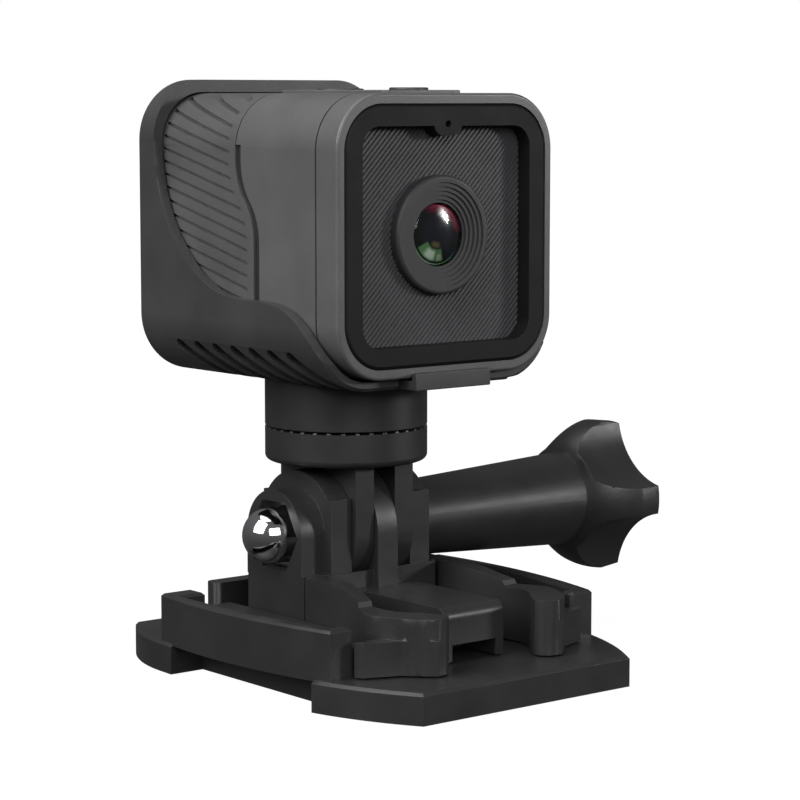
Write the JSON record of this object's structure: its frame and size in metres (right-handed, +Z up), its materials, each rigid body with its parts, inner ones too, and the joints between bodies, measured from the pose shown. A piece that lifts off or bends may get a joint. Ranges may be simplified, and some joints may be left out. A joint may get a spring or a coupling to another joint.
{
  "type": "action camera",
  "caption": "Small cube action camera in a swivelling cradle, on a tilting quick-release buckle and strap base",
  "frame": {"origin": "underside of the base plate, on the swivel axis", "axes": "+Z up, the lens looks along -Y, the thumbscrew points along +X"},
  "size_m": [0.0667, 0.0532, 0.0705],
  "materials": {
    "body_grey": "satin moulded, smooth",
    "rib_grey": "satin moulded with fine slanted grip lines",
    "frame_black": "fine matte texture",
    "grille_grey": "satin, fine diagonal stripes",
    "lens_ring_black": "satin black, stepped",
    "lens_glass": "multi-coated",
    "optics_black": "matt",
    "cradle_charcoal": "satin glass-filled nylon",
    "mount_black": "satin moulded nylon",
    "chrome": "polished",
    "steel": "bright",
    "brass": "plain",
    "seal_rubber": "matt",
    "window_glass": "gloss, dark",
    "display_dark": "gloss",
    "board_green": "solder-masked",
    "aluminium": "bead-blasted",
    "battery_wrap": "shrink-wrapped",
    "button_grey": "satin",
    "component_black": "matt"
  },
  "bodies": {
    "base": {"base_plate": "mount_black"},
    "buckle": {"buckle": "mount_black", "acorn_nut": "chrome"},
    "squeeze_arm_left": {"squeeze_arm_left": "mount_black"},
    "squeeze_arm_right": {"squeeze_arm_right": "mount_black"},
    "thumbscrew": {"thumb_knob": "mount_black", "thumb_bolt": "steel"},
    "swivel_fork": {"swivel_fork": "mount_black", "swivel_bolt": "steel", "swivel_insert": "brass", "swivel_washer": "steel"},
    "cradle": {"cradle": "cradle_charcoal", "swivel_top": "mount_black", "swivel_screws": "steel"},
    "front_latch": {"front_latch": "cradle_charcoal"},
    "power_button": {"power_button": "button_grey"},
    "shutter_button": {"shutter_button": "button_grey"},
    "port_door": {"port_door": "body_grey"},
    "camera": {"front_bezel": "body_grey", "front_frame": "frame_black", "grille_panel": "grille_grey", "microphone": "component_black", "lens_ring": "lens_ring_black", "front_element": "lens_glass", "rear_element": "lens_glass", "lens_spacer": "optics_black", "lens_barrel": "optics_black", "lens_holder": "optics_black", "infrared_filter": "window_glass", "image_sensor": "component_black", "sensor_board": "board_green", "front_shell": "body_grey", "seam_seal": "seal_rubber", "rear_shell": "rib_grey", "rear_cover": "body_grey", "rear_cover_screws": "steel", "front_gasket": "seal_rubber", "rear_gasket": "seal_rubber", "display_window": "window_glass", "display_module": "display_dark", "top_plate": "body_grey", "button_switches": "component_black", "button_board": "board_green", "door_pin": "steel", "usb_socket": "steel", "card_socket": "steel", "memory_card": "component_black", "chassis": "aluminium", "main_board": "board_green", "board_screws": "steel", "heat_spreader": "aluminium", "battery": "battery_wrap", "speaker": "component_black"}
  },
  "joints": [
    {"name": "buckle_slide", "type": "slide", "parent": "base", "child": "buckle", "axis": [0, 1, 0], "range_m": [0, 0.045], "deforming": ["squeeze_arm_left", "squeeze_arm_right"]},
    {"name": "squeeze_right", "type": "hinge", "parent": "buckle", "child": "squeeze_arm_right", "pos_m": [0.01, -0.0064, 0.006], "axis": [0, 0, -1], "range_deg": [0, 9], "stiffness_Nm_per_rad": 0.05},
    {"name": "squeeze_left", "type": "hinge", "parent": "buckle", "child": "squeeze_arm_left", "pos_m": [-0.01, -0.0064, 0.006], "axis": [0, 0, 1], "range_deg": [0, 9], "stiffness_Nm_per_rad": 0.05},
    {"name": "tilt", "type": "hinge", "parent": "buckle", "child": "swivel_fork", "pos_m": [0, 0, 0.01635], "axis": [-1, 0, 0], "range_deg": [-45, 60]},
    {"name": "thumbscrew_turn", "type": "hinge", "parent": "buckle", "child": "thumbscrew", "pos_m": [0.02, 0, 0.01635], "axis": [1, 0, 0], "continuous": true},
    {"name": "pan", "type": "hinge", "parent": "swivel_fork", "child": "cradle", "pos_m": [0, 0, 0.02884], "axis": [0, 0, 1], "continuous": true},
    {"name": "latch_press", "type": "hinge", "parent": "cradle", "child": "front_latch", "pos_m": [0, -0.0116, 0.03555], "axis": [1, 0, 0], "range_deg": [0, 7], "stiffness_Nm_per_rad": 0.1},
    {"name": "camera_slide", "type": "slide", "parent": "cradle", "child": "camera", "axis": [0, -1, 0], "range_m": [0, 0.04], "deforming": ["front_latch"]},
    {"name": "power_press", "type": "slide", "parent": "camera", "child": "power_button", "axis": [0, 0, -1], "range_m": [0, 0.0003], "stiffness_N_per_m": 800},
    {"name": "shutter_press", "type": "slide", "parent": "camera", "child": "shutter_button", "axis": [0, 0, -1], "range_m": [0, 0.0003], "stiffness_N_per_m": 800},
    {"name": "port_door_hinge", "type": "hinge", "parent": "camera", "child": "port_door", "pos_m": [0.01546, -0.0089, 0.05582], "axis": [0, 1, 0], "range_deg": [0, 100]}
  ]
}
